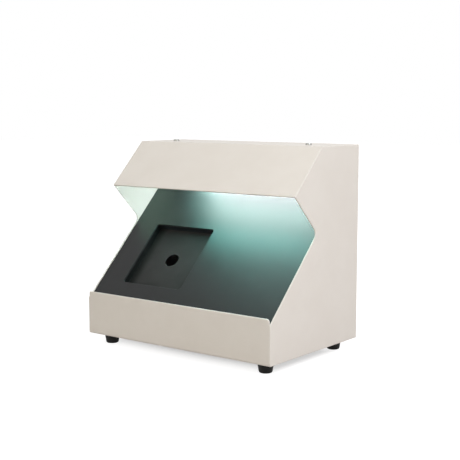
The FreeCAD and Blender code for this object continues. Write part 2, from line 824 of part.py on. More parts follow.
def fuse_drawer():
    """Sliding drawer with a pocket for the fuse and a grip in its face."""
    face = cover_face + flange_thickness
    z = inlet_z - drawer_drop
    step = face - drawer_face_thickness
    plate = prism(rectangle(inlet_x, z, drawer_face_width, drawer_face_height), "xz", step, face)
    body = prism(rectangle(inlet_x, z, drawer_width, drawer_height), "xz", face - drawer_length, step)
    start, _ = fuse_axis()
    half = fuse_diameter / 2 + fuse_room
    pocket = box(inlet_x - half, inlet_x + half, start.y - fuse_room, start.y + fuse_length + fuse_room,
                 z - fuse_diameter / 2, z + drawer_height)
    grip = prism(rectangle(inlet_x, z, drawer_grip, grip_height), "xz", face - grip_depth, face)
    return plate.fuse(body).cut(pocket).cut(grip).removeSplitter()


def fuse_glass():
    start, way = fuse_axis()
    low = start + way * fuse_glass_wall
    high = start + way * (fuse_length - fuse_glass_wall)
    bore = fuse_glass_diameter - 2 * fuse_glass_wall
    return rod(low, high, fuse_glass_diameter).cut(rod(low, high, bore))


def fuse_caps():
    start, way = fuse_axis()
    bore = fuse_glass_diameter + 2 * glass_fit
    caps = []
    for end, inward in ((start, way), (start + way * fuse_length, -way)):
        mouth = end + inward * fuse_cap_length
        cup = rod(end, mouth, fuse_diameter)
        caps.append(cup.cut(rod(end + inward * fuse_glass_wall, mouth, bore)))
    return group(caps)


# Rocker switch

def rocker_pivot():
    return Vector(switch_x, cover_face + bezel_thickness - pivot_sink, inlet_z)


def switch_body():
    """Housing and bezel, with the rocker's well and its pivot holes."""
    face = cover_face + bezel_thickness
    plate = rectangle(switch_x, inlet_z, bezel_width, bezel_height, bezel_corner)
    bezel = prism(plate, "xz", cover_face, face)
    bezel = bezel.makeFillet(bezel_edge, edges_on(bezel, "Y", face))
    block = rectangle(switch_x, inlet_z, switch_width, switch_height)
    housing = prism(block, "xz", cover_face - switch_depth, cover_face)
    pivot = rocker_pivot()
    swing = math.radians(rocker_tilt)
    keel_reach = math.sqrt(rocker_reach ** 2 - rocker_keel ** 2)
    sweep = rocker_keel * math.cos(swing) + keel_reach * math.sin(swing)
    well_depth = sweep + 2 * rocker_clearance
    well = rectangle(switch_x, inlet_z, well_width, 2 * (rocker_reach + rocker_clearance))
    hole_reach = rocker_width / 2 + rocker_pin_length + pin_fit
    holes = rod(pivot - X_AXIS * hole_reach, pivot + X_AXIS * hole_reach, rocker_pin + 2 * pin_fit)
    body = bezel.fuse(housing).cut(prism(well, "xz", pivot.y - well_depth, face))
    return body.cut(holes).removeSplitter()


def switch_rocker():
    """Rocker with two faces in a shallow V, resting in the on position, upper end pressed in."""
    half = rocker_width / 2
    edge = rocker_reach + rocker_clearance
    rise = rocker_rise + edge * math.tan(math.radians(rocker_tilt))
    profile = [(-rocker_keel, -edge, 0.0), (rise, -edge, 0.0), (rocker_rise, 0.0, 0.0),
               (rise, edge, 0.0), (-rocker_keel, edge, 0.0)]
    paddle = prism(profile, "yz", -half, half)
    paddle = paddle.common(rod(X_AXIS * -half, X_AXIS * half, 2 * rocker_reach))
    reach = half + rocker_pin_length
    paddle = paddle.fuse(rod(X_AXIS * -reach, X_AXIS * reach, rocker_pin)).removeSplitter()
    return moved(paddle, FreeCAD.Placement(rocker_pivot(), FreeCAD.Rotation(X_AXIS, rocker_tilt)))


def switch_tag_places():
    """Tags at the back of the switch, as (x, z): upper pair, then lower pair, right one first."""
    columns = (switch_x + switch_tag_spread, switch_x - switch_tag_spread)
    return [(x, inlet_z + rise) for rise in (switch_tag_rise, -switch_tag_rise) for x in columns]


def switch_tags():
    back = cover_face - switch_depth
    return group(
        prism(rectangle(x, z, switch_tag_thickness, switch_tag_width), "xz", back - tag_length, back)
        for x, z in switch_tag_places()
    )


# Ballast and earth point

def ballast_holes():
    """Fixing holes of the ballast, as (x, y)."""
    reach_x = ballast_length / 2 - ballast_hole_inset
    reach_y = (ballast_width + ballast_ear) / 2
    return [(ballast_x + a * reach_x, ballast_y + b * reach_y) for a in (-1, 1) for b in (-1, 1)]


def ballast_case():
    """Ballast housing on its fixing plate."""
    low = floor_inside + ballast_plate
    high = low + ballast_height
    plate_size = ballast_width + 2 * ballast_ear
    outline = rectangle(ballast_x, ballast_y, ballast_length, plate_size, ballast_round)
    plate = prism(outline, "xy", floor_inside, low)
    for x, y in ballast_holes():
        plate = plate.cut(rod(Vector(x, y, floor_inside), Vector(x, y, low), hole_small))
    case = prism(rectangle(ballast_x, ballast_y, ballast_length, ballast_width), "xy", low, high)
    case = case.makeFillet(ballast_round, edges_on(case, "Z", high))
    return plate.fuse(case).removeSplitter()


def ballast_terminals():
    """Terminal blocks at the ends of the ballast, mains right and lamp left."""
    low = terminal_z - terminal_height / 2
    blocks = []
    for side in (-1, 1):
        near = ballast_x + side * ballast_length / 2
        x0, x1 = sorted((near, near + side * terminal_length))
        half = terminal_width / 2
        blocks.append(box(x0, x1, ballast_y - half, ballast_y + half, low, low + terminal_height))
    return group(blocks)


def ballast_screws():
    length = sheet + ballast_plate + nut_height_small + screw_tail
    screw = pan_screw(thread_small, length, head_small, head_height_small)
    return group(turned(screw, Vector(x, y, under), -Z_AXIS) for x, y in ballast_holes())


def ballast_nuts():
    nut = hex_nut(nut_small, nut_height_small, thread_small)
    seat = floor_inside + ballast_plate
    return group(turned(nut, Vector(x, y, seat), Z_AXIS) for x, y in ballast_holes())


def earth_stud():
    foot = Vector(earth_x, earth_y, floor_inside)
    return rod(foot, foot + Z_AXIS * earth_stud_length, thread_large - 2 * thread_fit)


def earth_ring():
    """Ring terminal with its crimp barrel pointing to the back."""
    foot = Vector(earth_x, earth_y, floor_inside)
    ring = turned(washer(ring_diameter, ring_thickness, thread_large + 2 * thread_fit), foot, Z_AXIS)
    start = Vector(earth_x, earth_y + ring_diameter / 2, floor_inside + ring_barrel / 2)
    barrel = rod(start, start + Y_AXIS * ring_barrel_length, ring_barrel)
    half = ring_barrel / 4
    tongue = box(earth_x - half, earth_x + half, earth_y + ring_diameter / 2 - half,
                 earth_y + ring_diameter / 2 + half, floor_inside, floor_inside + ring_thickness)
    return ring.fuse(tongue).fuse(barrel).removeSplitter()


def earth_nut():
    seat = Vector(earth_x, earth_y, floor_inside + ring_thickness)
    return turned(hex_nut(nut_large, nut_height_large, thread_large), seat, Z_AXIS)


# Inside wiring

def tag_end(place, depth_behind):
    """End of a tag behind the rear cover, as a point."""
    return Vector(place[0], cover_face - depth_behind - tag_length, place[1])


def mains_loop(blade, tag, loops):
    """Lead from an inlet blade to a switch tag, in a loop that clears the inner ones."""
    start, end = tag_end(blade, inlet_depth), tag_end(tag, switch_depth)
    turn = min(start.y, end.y) - lead_straight - loops * loop_step
    return lead([start, Vector(start.x, turn, start.z), Vector(end.x, turn, end.z), end], mains_lead)


def live_lead():
    return mains_loop(blade_places()[0], switch_tag_places()[0], 0)


def neutral_lead():
    return mains_loop(blade_places()[2], switch_tag_places()[1], 1)


def earth_lead():
    """Lead from the earth blade down to the ring terminal."""
    start = tag_end(blade_places()[1], inlet_depth)
    end = Vector(earth_x, earth_y + ring_diameter / 2 + ring_barrel_length, floor_inside + ring_barrel / 2)
    turn = (start.y + end.y) / 2
    return lead([start, Vector(start.x, turn, start.z), Vector(end.x, turn, end.z), end], mains_lead)


def switched_leads():
    """The two leads from the switch to the mains end of the ballast."""
    end_x = ballast_x + ballast_length / 2 + terminal_length
    leads = []
    for row, place in zip((1, -1), switch_tag_places()[2:]):
        start = tag_end(place, switch_depth)
        y = ballast_y + row * terminal_pitch / 2
        end = Vector(end_x, y, terminal_z)
        bend = Vector(start.x, start.y - lead_straight, start.z)
        leads.append(lead([start, bend, Vector(start.x, y, terminal_z), end], mains_lead))
    return group(leads)


def lamp_pair(side, order):
    """Two leads from the lamp end of the ballast, up behind the bed, to one lamp holder."""
    start_x = ballast_x - ballast_length / 2 - terminal_length
    end_x = side * (holder_face + holder_thickness)
    riser_y = frame_front - lead_clear
    leads = []
    for inner, place in enumerate(order):
        from_middle = (lamp_terminals - 1) / 2 - place
        start = Vector(start_x, ballast_y + from_middle * terminal_pitch, terminal_z)
        pin = pin_pitch / 2 if inner else -pin_pitch / 2
        end = Vector(end_x, lamp_y + pin, lamp_z)
        riser_x = start_x - lead_straight - place * lead_step
        out_x = end_x + side * (lead_straight - inner * lead_step)
        roof = roof_inside - frame_width - inner * lead_step
        points = [
            start,
            Vector(riser_x, start.y, start.z),
            Vector(riser_x, riser_y, start.z + 2 * lead_bend),
            Vector(riser_x, riser_y, roof),
        ]
        if side > 0:
            points.append(Vector(out_x, riser_y, roof))
        points += [Vector(out_x, end.y, end.z), end]
        leads.append(lead(points, lamp_lead))
    return group(leads)


def build():
    """Every piece by its node name."""
    parts = {
        "left_side_panel": side_panel(-1),
        "right_side_panel": side_panel(1),
        "hood_top_panel": hood_top_panel(),
        "base_tray": base_tray(),
        "rear_frame": rear_frame(),
        "rear_cover": rear_cover(),
        "rear_cover_screws": rear_cover_screws(),
        "rear_cover_nuts": rear_cover_nuts(),
        "bed_panel": bed_panel(),
        "recess_tray": recess_tray(),
        "bed_rail_left": bed_rail(-1),
        "bed_rail_right": bed_rail(1),
        "bed_studs": bed_studs(),
        "bed_nuts": bed_nuts(),
        "lamp_reflector": lamp_reflector(),
        "lamp_holder_left": lamp_holder(-1),
        "lamp_holder_right": lamp_holder(1),
        "holder_inserts": holder_inserts(),
        "top_screws": top_screws(),
        "lamp_rotor_left": lamp_rotor(-1),
        "lamp_rotor_right": lamp_rotor(1),
        "tube_glass": tube_glass(),
        "tube_cap_left": tube_cap(-1),
        "tube_cap_right": tube_cap(1),
        "foot_washers": foot_washers(),
        "foot_screws": foot_screws(),
        "foot_nuts": foot_nuts(),
        "inlet_body": inlet_body(),
        "inlet_blades": inlet_blades(),
        "inlet_screws": inlet_screws(),
        "inlet_nuts": inlet_nuts(),
        "fuse_drawer": fuse_drawer(),
        "fuse_glass": fuse_glass(),
        "fuse_caps": fuse_caps(),
        "switch_body": switch_body(),
        "switch_rocker": switch_rocker(),
        "switch_tags": switch_tags(),
        "ballast_case": ballast_case(),
        "ballast_terminals": ballast_terminals(),
        "ballast_screws": ballast_screws(),
        "ballast_nuts": ballast_nuts(),
        "earth_stud": earth_stud(),
        "earth_ring": earth_ring(),
        "earth_nut": earth_nut(),
        "live_lead": live_lead(),
        "neutral_lead": neutral_lead(),
        "earth_lead": earth_lead(),
        "switched_leads": switched_leads(),
        "lamp_leads_left": lamp_pair(-1, (3, 2)),
        "lamp_leads_right": lamp_pair(1, (1, 0)),
    }
    for name, place in zip(("front_left", "front_right", "rear_left", "rear_right"), foot_places()):
        parts["foot_" + name] = rubber_foot(*place)
    return parts


os.makedirs("parts", exist_ok=True)
for node, shape in build().items():
    shape.exportStep(os.path.join("parts", node + ".step"))
    print(f"{node}: {len(shape.Solids)} solids, valid {shape.isValid()}, {shape.Volume / 1000:.2f} cm3")
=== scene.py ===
import json
import math

import bmesh
import bpy
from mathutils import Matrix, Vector


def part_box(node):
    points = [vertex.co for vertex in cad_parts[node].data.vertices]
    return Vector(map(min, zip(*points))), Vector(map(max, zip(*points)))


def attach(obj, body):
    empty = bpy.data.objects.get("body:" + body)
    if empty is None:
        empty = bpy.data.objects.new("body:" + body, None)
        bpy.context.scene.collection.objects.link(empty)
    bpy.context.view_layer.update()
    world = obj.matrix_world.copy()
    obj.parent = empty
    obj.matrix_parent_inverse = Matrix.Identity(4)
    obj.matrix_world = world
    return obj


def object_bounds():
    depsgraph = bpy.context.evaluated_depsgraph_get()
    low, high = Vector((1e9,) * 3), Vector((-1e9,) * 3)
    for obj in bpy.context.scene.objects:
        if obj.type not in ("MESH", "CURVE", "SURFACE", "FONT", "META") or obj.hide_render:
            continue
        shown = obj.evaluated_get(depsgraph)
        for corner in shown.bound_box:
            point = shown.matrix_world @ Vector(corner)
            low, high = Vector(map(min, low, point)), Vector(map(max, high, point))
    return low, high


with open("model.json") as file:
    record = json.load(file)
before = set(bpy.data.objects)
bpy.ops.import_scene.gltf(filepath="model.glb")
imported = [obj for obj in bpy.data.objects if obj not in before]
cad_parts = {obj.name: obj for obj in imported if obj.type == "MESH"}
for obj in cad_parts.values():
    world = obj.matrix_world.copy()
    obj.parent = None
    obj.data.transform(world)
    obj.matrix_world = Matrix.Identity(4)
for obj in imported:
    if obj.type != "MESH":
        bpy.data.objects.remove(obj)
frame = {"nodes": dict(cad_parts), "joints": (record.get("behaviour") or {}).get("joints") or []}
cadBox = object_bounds()
nodes = frame["nodes"]
mm = 0.001
pureWhite = (1.0, 1.0, 1.0, 1.0)


# node helpers

def feed(tree, socket, value):
    if isinstance(value, bpy.types.NodeSocket):
        tree.links.new(value, socket)
    else:
        socket.default_value = value


def addNode(tree, kind, inputs=None, **settings):
    node = tree.nodes.new(kind)
    for name, value in settings.items():
        setattr(node, name, value)
    for name, value in (inputs or {}).items():
        feed(tree, node.inputs[name], value)
    return node


def maths(tree, operation, first, second=0.0, clamp=False):
    node = addNode(tree, "ShaderNodeMath", operation=operation, use_clamp=clamp)
    feed(tree, node.inputs[0], first)
    feed(tree, node.inputs[1], second)
    return node.outputs[0]


def mixColor(tree, factor, first, second, blend="MIX"):
    node = addNode(tree, "ShaderNodeMix", data_type="RGBA", blend_type=blend)
    feed(tree, node.inputs[0], factor)
    feed(tree, node.inputs[6], first)  # 6 and 7 are the colour sockets
    feed(tree, node.inputs[7], second)
    return node.outputs[2]


def ranged(tree, value, fromLow, fromHigh, toLow, toHigh, smooth=False):
    node = addNode(tree, "ShaderNodeMapRange")
    node.interpolation_type = "SMOOTHSTEP" if smooth else "LINEAR"
    for socket, given in zip(node.inputs, (value, fromLow, fromHigh, toLow, toHigh)):
        feed(tree, socket, given)
    return node.outputs[0]


def noise(tree, vector, scale, detail, roughness=0.5):
    given = {"Vector": vector, "Scale": scale, "Detail": detail, "Roughness": roughness}
    return addNode(tree, "ShaderNodeTexNoise", given).outputs[0]


def objectPlace(tree):
    return addNode(tree, "ShaderNodeTexCoord").outputs["Object"]


def surfaceNormal(tree):
    return addNode(tree, "ShaderNodeNewGeometry").outputs["Normal"]


def axesOf(tree, vector):
    return addNode(tree, "ShaderNodeSeparateXYZ", {"Vector": vector}).outputs


def newGroup(name, inputs, outputs):
    group = bpy.data.node_groups.new(name, "ShaderNodeTree")
    for label, (kind, value) in inputs.items():
        socket = group.interface.new_socket(name=label, in_out="INPUT", socket_type=kind)
        socket.default_value = value
    for label, kind in outputs.items():
        group.interface.new_socket(name=label, in_out="OUTPUT", socket_type=kind)
    given = group.nodes.new("NodeGroupInput").outputs
    result = group.nodes.new("NodeGroupOutput").inputs
    return group, given, result


def placeGroup(tree, group, values):
    node = addNode(tree, "ShaderNodeGroup", node_tree=group)
    for name, value in values.items():
        feed(tree, node.inputs[name], value)
    return node.outputs


# shared surface effects, each a group built once

softEdgeLook = {
    "samples": 6,
    "gain": 6.0,  # how soon a turn of the surface counts as an edge
}


def makeSoftEdge():
    group, given, result = newGroup(
        "softEdge",
        {"Radius": ("NodeSocketFloat", 0.4 * mm)},
        {"Normal": "NodeSocketVector", "Edge": "NodeSocketFloat"},
    )
    radius = {"Radius": given["Radius"]}
    rounded = addNode(group, "ShaderNodeBevel", radius, samples=softEdgeLook["samples"])
    lean = addNode(group, "ShaderNodeVectorMath", operation="DOT_PRODUCT")
    feed(group, lean.inputs[0], rounded.outputs[0])
    feed(group, lean.inputs[1], surfaceNormal(group))
    turned = maths(group, "SUBTRACT", 1.0, lean.outputs["Value"])
    feed(group, result["Normal"], rounded.outputs[0])
    feed(group, result["Edge"], maths(group, "MULTIPLY", turned, softEdgeLook["gain"], clamp=True))
    return group


grainLook = {
    "coarseDetail": 2.0,
    "fineDetail": 3.0,
    "fineScale": 2.7,  # times the coarse scale
    "fineShare": 0.35,
    "toneDetail": 3.0,
    "toneRoughness": 0.6,
    "band": (0.3, 0.7),  # where most of the noise lies
}


def makeSurfaceGrain():
    group, given, result = newGroup(
        "surfaceGrain",
        {"Scale": ("NodeSocketFloat", 1200.0), "Mottle": ("NodeSocketFloat", 30.0)},
        {"Height": "NodeSocketFloat", "Fine": "NodeSocketFloat", "Tone": "NodeSocketFloat"},
    )
    look = grainLook
    place = objectPlace(group)
    coarse = noise(group, place, given["Scale"], look["coarseDetail"])
    fineScale = maths(group, "MULTIPLY", given["Scale"], look["fineScale"])
    fine = noise(group, place, fineScale, look["fineDetail"])
    height = maths(group, "ADD", coarse, maths(group, "MULTIPLY", fine, look["fineShare"]))
    tone = noise(group, place, given["Mottle"], look["toneDetail"], look["toneRoughness"])
    feed(group, result["Height"], height)
    feed(group, result["Fine"], fine)
    feed(group, result["Tone"], ranged(group, tone, *look["band"], 0.0, 1.0, smooth=True))
    return group


streakLook = {"detail": 5.0, "roughness": 0.65, "band": (0.35, 0.65)}


def makeStreakMarks():
    group, given, result = newGroup(
        "streakMarks",
        {"Stretch": ("NodeSocketVector", (1.0, 1.0, 1.0)), "Scale": ("NodeSocketFloat", 900.0)},
        {"Streak": "NodeSocketFloat", "Height": "NodeSocketFloat"},
    )
    look = streakLook
    drawn = addNode(group, "ShaderNodeVectorMath", operation="MULTIPLY")
    feed(group, drawn.inputs[0], objectPlace(group))
    feed(group, drawn.inputs[1], given["Stretch"])
    marks = noise(group, drawn.outputs[0], given["Scale"], look["detail"], look["roughness"])
    feed(group, result["Height"], marks)
    feed(group, result["Streak"], ranged(group, marks, *look["band"], 0.0, 1.0))
    return group


dustLook = {
    "color": (0.62, 0.60, 0.56, 1.0),
    "facing": (0.45, 1.0),  # upward share of the normal, from bare to dusty
    "detail": 6.0,
    "roughness": 0.7,
    "band": (0.42, 0.72),
}


def makeSettledDust():
    group, given, result = newGroup(
        "settledDust",
        {"Amount": ("NodeSocketFloat", 0.1), "Scale": ("NodeSocketFloat", 260.0)},
        {"Mask": "NodeSocketFloat"},
    )
    look = dustLook
    facing = axesOf(group, surfaceNormal(group))["Z"]
    upward = ranged(group, facing, *look["facing"], 0.0, 1.0, smooth=True)
    specks = noise(group, objectPlace(group), given["Scale"], look["detail"], look["roughness"])
    lying = ranged(group, specks, *look["band"], 0.0, 1.0, smooth=True)
    share = maths(group, "MULTIPLY", maths(group, "MULTIPLY", upward, lying), given["Amount"])
    feed(group, result["Mask"], share)
    return group


softEdge = makeSoftEdge()
surfaceGrain = makeSurfaceGrain()
streakMarks = makeStreakMarks()
settledDust = makeSettledDust()
print("effects:", len(bpy.data.node_groups), "groups")


# finishes

def newFinish(name, sockets):
    material = bpy.data.materials.new(name)
    material.use_nodes = True
    tree = material.node_tree
    tree.nodes.clear()
    shader = addNode(tree, "ShaderNodeBsdfPrincipled", sockets)
    output = addNode(tree, "ShaderNodeOutputMaterial")
    tree.links.new(shader.outputs[0], output.inputs["Surface"])
    return material, tree, shader


def addRelief(tree, shader, height, strength, depth, edge):
    bump = addNode(tree, "ShaderNodeBump", {"Strength": strength, "Distance": depth})
    feed(tree, bump.inputs["Height"], height)
    feed(tree, bump.inputs["Normal"], edge["Normal"])
    feed(tree, shader.inputs["Normal"], bump.outputs[0])


# edges take the lighter edge colour: partly wear, partly a painted highlight along the rounded
# edges
def wearAndSheenColor(tree, look, grain, edge, color):
    base = color(tree) if color else look["color"]
    toned = mixColor(tree, grain["Tone"], base, look["shade"], look.get("blend", "MIX"))
    wearAndSheenShare = maths(tree, "MULTIPLY", edge["Edge"], look["wearAndSheen"])
    return mixColor(tree, wearAndSheenShare, toned, look["edgeColor"])


def makeCoat(name, look, color=None):
    material, tree, shader = newFinish(name, look.get("sockets", {}))
    grain = placeGroup(tree, surfaceGrain, {"Scale": look["grain"], "Mottle": look["mottle"]})
    edge = placeGroup(tree, softEdge, {"Radius": look["edgeRound"]})
    dust = placeGroup(tree, settledDust, {"Amount": look["dust"]})
    bare = wearAndSheenColor(tree, look, grain, edge, color)
    feed(tree, shader.inputs["Base Color"], mixColor(tree, dust["Mask"], bare, dustLook["color"]))
    rough = ranged(tree, grain["Fine"], *grainLook["band"], *look["rough"])
    feed(tree, shader.inputs["Roughness"], rough)
    addRelief(tree, shader, grain["Height"], look["relief"], look["depth"], edge)
    return material


def makeMetal(name, look, color=None):
    material, tree, shader = newFinish(name, {"Metallic": 1.0})
    marks = placeGroup(tree, streakMarks, {"Stretch": look["stretch"], "Scale": look["scale"]})
    grain = placeGroup(tree, surfaceGrain, {"Scale": look["grain"], "Mottle": look["mottle"]})
    edge = placeGroup(tree, softEdge, {"Radius": look["edgeRound"]})
    feed(tree, shader.inputs["Base Color"], wearAndSheenColor(tree, look, grain, edge, color))
    feed(tree, shader.inputs["Roughness"], ranged(tree, marks["Streak"], 0.0, 1.0, *look["rough"]))
    addRelief(tree, shader, marks["Height"], look["relief"], look["depth"], edge)
    return material


cabinetLook = {
    "color": (0.735, 0.690, 0.640, 1.0),
    "insideShade": (0.36, 0.36, 0.36, 1.0),  # painted shade: the closed room under the bed takes a dark grey, so the port in the recess reads dark
    "skin": 0.8 * mm,  # what lies deeper than this counts as inside
    "blend": "MULTIPLY",
    "shade": (0.973, 0.968, 0.962, 1.0),
    # painted highlight: the pale line along the cabinet's rounded edges
    "edgeColor": (0.86, 0.835, 0.78, 1.0),
    "wearAndSheen": 0.6,
    "dust": 0.05,
    "grain": 1100.0,
    "mottle": 22.0,
    "rough": (0.46, 0.56),
    "relief": 0.10,
    "depth": 0.25 * mm,
    "edgeRound": 1.1 * mm,
    "sockets": {"Specular IOR Level": 0.42},
}

bedLook = {
    "color": (0.0052, 0.0048, 0.0052, 1.0),
    "shade": (0.0040, 0.0038, 0.0041, 1.0),
    "edgeColor": (0.05, 0.052, 0.053, 1.0),
    "wearAndSheen": 0.35,
    "dust": 0.0,
    "grain": 2400.0,
    "mottle": 45.0,
    "rough": (0.38, 0.46),
    "relief": 0.05,
    "depth": 0.12 * mm,
    "edgeRound": 0.4 * mm,
    "sockets": {"Specular IOR Level": 0.31},
}

recessLook = {
    **bedLook,
    "color": (0.0285, 0.0275, 0.0270, 1.0),
    "sideShadeColor": (0.002, 0.002, 0.002, 1.0),  # painted shade: the two upright sides, darker than the floor
    "blend": "MULTIPLY",
    "shade": (0.86, 0.86, 0.86, 1.0),
    "edgeColor": (0.07, 0.072, 0.073, 1.0),
    "grain": 1500.0,
    "rough": (0.60, 0.72),
    "relief": 0.14,
    "sideTurn": (0.35, 0.85),  # sideways share of the normal, from level to upright
    "rearShadeColor": (0.016, 0.021, 0.0235, 1.0),  # painted shade on the upper wall, darker and bluer
    "rearTurn": (-0.5, -1.1),  # sum of the normal's Y and Z, lowest on the upper wall
    "rim": 9.5 * mm,  # flange and wall of the tray, outside the recess
    "cornerReach": 17 * mm,  # painted shade: the floor darkens towards its left side
    "cornerShade": 0.85,
    "sockets": {"Specular IOR Level": 0.10},
}

reflectorLook = {
    "color": (0.84, 0.84, 0.82, 1.0),
    "shade": (0.81, 0.81, 0.78, 1.0),
    "edgeColor": (0.88, 0.88, 0.86, 1.0),
    "wearAndSheen": 0.4,
    "dust": 0.04,
    "grain": 700.0,
    "mottle": 35.0,
    "rough": (0.22, 0.32),
    "relief": 0.05,
    "depth": 0.2 * mm,
    "edgeRound": 0.4 * mm,
}

holderLook = {
    "color": (0.78, 0.77, 0.73, 1.0),
    "shade": (0.74, 0.72, 0.67, 1.0),
    "edgeColor": (0.84, 0.83, 0.80, 1.0),
    "wearAndSheen": 0.4,
    "dust": 0.06,
    "grain": 3200.0,
    "mottle": 160.0,
    "rough": (0.34, 0.46),
    "relief": 0.08,
    "depth": 0.06 * mm,
    "edgeRound": 0.5 * mm,
}

blackPlasticLook = {
    "color": (0.019, 0.019, 0.020, 1.0),
    "shade": (0.026, 0.026, 0.027, 1.0),
    "edgeColor": (0.075, 0.075, 0.077, 1.0),
    "wearAndSheen": 0.4,
    "dust": 0.07,
    "grain": 3600.0,
    "mottle": 180.0,
    "rough": (0.34, 0.48),
    "relief": 0.16,
    "depth": 0.06 * mm,
    "edgeRound": 0.45 * mm,
}

rockerLook = {
    "color": (0.014, 0.014, 0.015, 1.0),
    "shade": (0.018, 0.018, 0.019, 1.0),
    "edgeColor": (0.06, 0.06, 0.062, 1.0),
    "wearAndSheen": 0.35,
    "dust": 0.03,
    "grain": 2600.0,
    "mottle": 220.0,
    "rough": (0.20, 0.30),
    "relief": 0.05,
    "depth": 0.04 * mm,
    "edgeRound": 0.5 * mm,
}

footLook = {
    "color": (0.0060, 0.0058, 0.0056, 1.0),
    "shade": (0.0085, 0.0083, 0.0080, 1.0),
    "edgeColor": (0.022, 0.0215, 0.021, 1.0),
    "wearAndSheen": 0.4,
    "dust": 0.02,
    "grain": 1500.0,
    "mottle": 260.0,
    "rough": (0.50, 0.66),
    "relief": 0.22,
    "depth": 0.10 * mm,
    "edgeRound": 0.6 * mm,
    "sockets": {"Specular IOR Level": 0.18},
}

ballastLook = {
    "color": (0.055, 0.058, 0.060, 1.0),
    "shade": (0.042, 0.045, 0.047, 1.0),
    "edgeColor": (0.22, 0.22, 0.21, 1.0),
    "wearAndSheen": 0.6,
    "dust": 0.25,
    "grain": 900.0,
    "mottle": 60.0,
    "rough": (0.42, 0.58),
    "relief": 0.16,
    "depth": 0.2 * mm,
    "edgeRound": 0.6 * mm,
}

leadLook = {
    "blend": "MULTIPLY",
    "shade": (0.84, 0.84, 0.84, 1.0),
    "edgeColor": (0.8, 0.8, 0.8, 1.0),
    "wearAndSheen": 0.0,
    "dust": 0.12,
    "grain": 2600.0,
    "mottle": 120.0,
    "rough": (0.36, 0.5),
    "relief": 0.05,
    "depth": 0.05 * mm,
    "edgeRound": 0.2 * mm,
    "stripeBlend": 0.05 * mm,  # half the seam between the earth lead's two colours
}

zincLook = {
    "color": (0.44, 0.44, 0.43, 1.0),
    "shade": (0.37, 0.37, 0.35, 1.0),
    "edgeColor": (0.58, 0.58, 0.57, 1.0),
    "wearAndSheen": 0.5,
    "stretch": (1.0, 1.0, 1.0),
    "scale": 1600.0,
    "grain": 2000.0,
    "mottle": 180.0,
    "rough": (0.26, 0.42),
    "relief": 0.06,
    "depth": 0.05 * mm,
    "edgeRound": 0.25 * mm,
}

capLook = {
    "color": (0.74, 0.74, 0.73, 1.0),
    "shade": (0.88, 0.88, 0.87, 1.0),
    "edgeColor": (0.82, 0.82, 0.81, 1.0),
    "wearAndSheen": 0.4,
    "stretch": (1.0, 0.06, 0.06),  # fine rings round the tube's axis
    "scale": 3800.0,
    "grain": 1800.0,
    "mottle": 120.0,
    "rough": (0.22, 0.36),
    "relief": 0.10,
    "depth": 0.04 * mm,
    "edgeRound": 0.3 * mm,
    "pinColor": (0.72, 0.53, 0.24, 1.0),
    "pinStart": 106.2 * mm,  # the brass pins stand past the cap's end
    "blend": "MULTIPLY",
}

brassLook = {
    "color": (0.73, 0.54, 0.25, 1.0),
    "shade": (0.62, 0.43, 0.19, 1.0),
    "edgeColor": (0.82, 0.64, 0.34, 1.0),
    "wearAndSheen": 0.5,
    "stretch": (1.0, 1.0, 0.15),
    "scale": 2200.0,
    "grain": 2000.0,
    "mottle": 240.0,
    "rough": (0.24, 0.4),
    "relief": 0.08,
    "depth": 0.04 * mm,
    "edgeRound": 0.2 * mm,
}

leadColors = {
    "live": (0.17, 0.075, 0.03, 1.0),
    "neutral": (0.03, 0.11, 0.38, 1.0),
    "earth": (0.05, 0.26, 0.06, 1.0),
    "earthStripe": (0.72, 0.58, 0.05, 1.0),
    "lamp": (0.74, 0.74, 0.71, 1.0),
}


def makeLead(name, color, stripe=None):
    return makeCoat(name, {**leadLook, "color": color}, stripe)


def below(tree, value, limit):
    return maths(tree, "LESS_THAN", value, limit)


# painted shade: darkens the faces inside the closed room under the bed
def shadedInside(tree):
    skin = cabinetLook["skin"]
    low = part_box("base_tray")[0]
    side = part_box("right_side_panel")[1].x
    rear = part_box("rear_cover")[1].y
    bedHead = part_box("bed_panel")[1]
    axes = axesOf(tree, objectPlace(tree))
    bedLevel = bedHead.z - bedHead.y - skin  # the bed climbs at 45 degrees
    rules = (
        below(tree, maths(tree, "ABSOLUTE", axes["X"]), side - skin),
        below(tree, axes["Y"], rear - skin),
        below(tree, maths(tree, "MULTIPLY", axes["Y"], -1.0), -low.y - skin),
        below(tree, maths(tree, "MULTIPLY", axes["Z"], -1.0), -low.z - skin),
        below(tree, maths(tree, "SUBTRACT", axes["Z"], axes["Y"]), bedLevel),
    )
    inside = rules[0]
    for rule in rules[1:]:
        inside = maths(tree, "MULTIPLY", inside, rule)
    return mixColor(tree, inside, cabinetLook["color"], cabinetLook["insideShade"])


# painted shade on the tray: darker upright sides, a darker upper wall and a darker floor strip by
# the left side
def recessShadedColor(tree):
    look = recessLook
    facing = axesOf(tree, surfaceNormal(tree))
    sideways = maths(tree, "ABSOLUTE", facing["X"])
    upright = ranged(tree, sideways, *look["sideTurn"], 0.0, 1.0, smooth=True)
    along = axesOf(tree, objectPlace(tree))["X"]
    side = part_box("recess_tray")[0].x + look["rim"]
    reach = side + look["cornerReach"]
    corner = ranged(tree, along, side, reach, look["cornerShade"], 0.0, smooth=True)
    shaded = maths(tree, "MAXIMUM", upright, corner)
    upSlope = maths(tree, "ADD", facing["Y"], facing["Z"])
    rear = ranged(tree, upSlope, *look["rearTurn"], 0.0, 1.0)
    level = mixColor(tree, rear, look["color"], look["rearShadeColor"])
    return mixColor(tree, shaded, level, look["sideShadeColor"])


def earthStripe(tree):
    low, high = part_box("earth_lead")
    along = axesOf(tree, objectPlace(tree))["X"]
    middle, blend = (low.x + high.x) / 2, leadLook["stripeBlend"]
    side = ranged(tree, along, middle - blend, middle + blend, 0.0, 1.0)
    return mixColor(tree, side, leadColors["earth"], leadColors["earthStripe"])


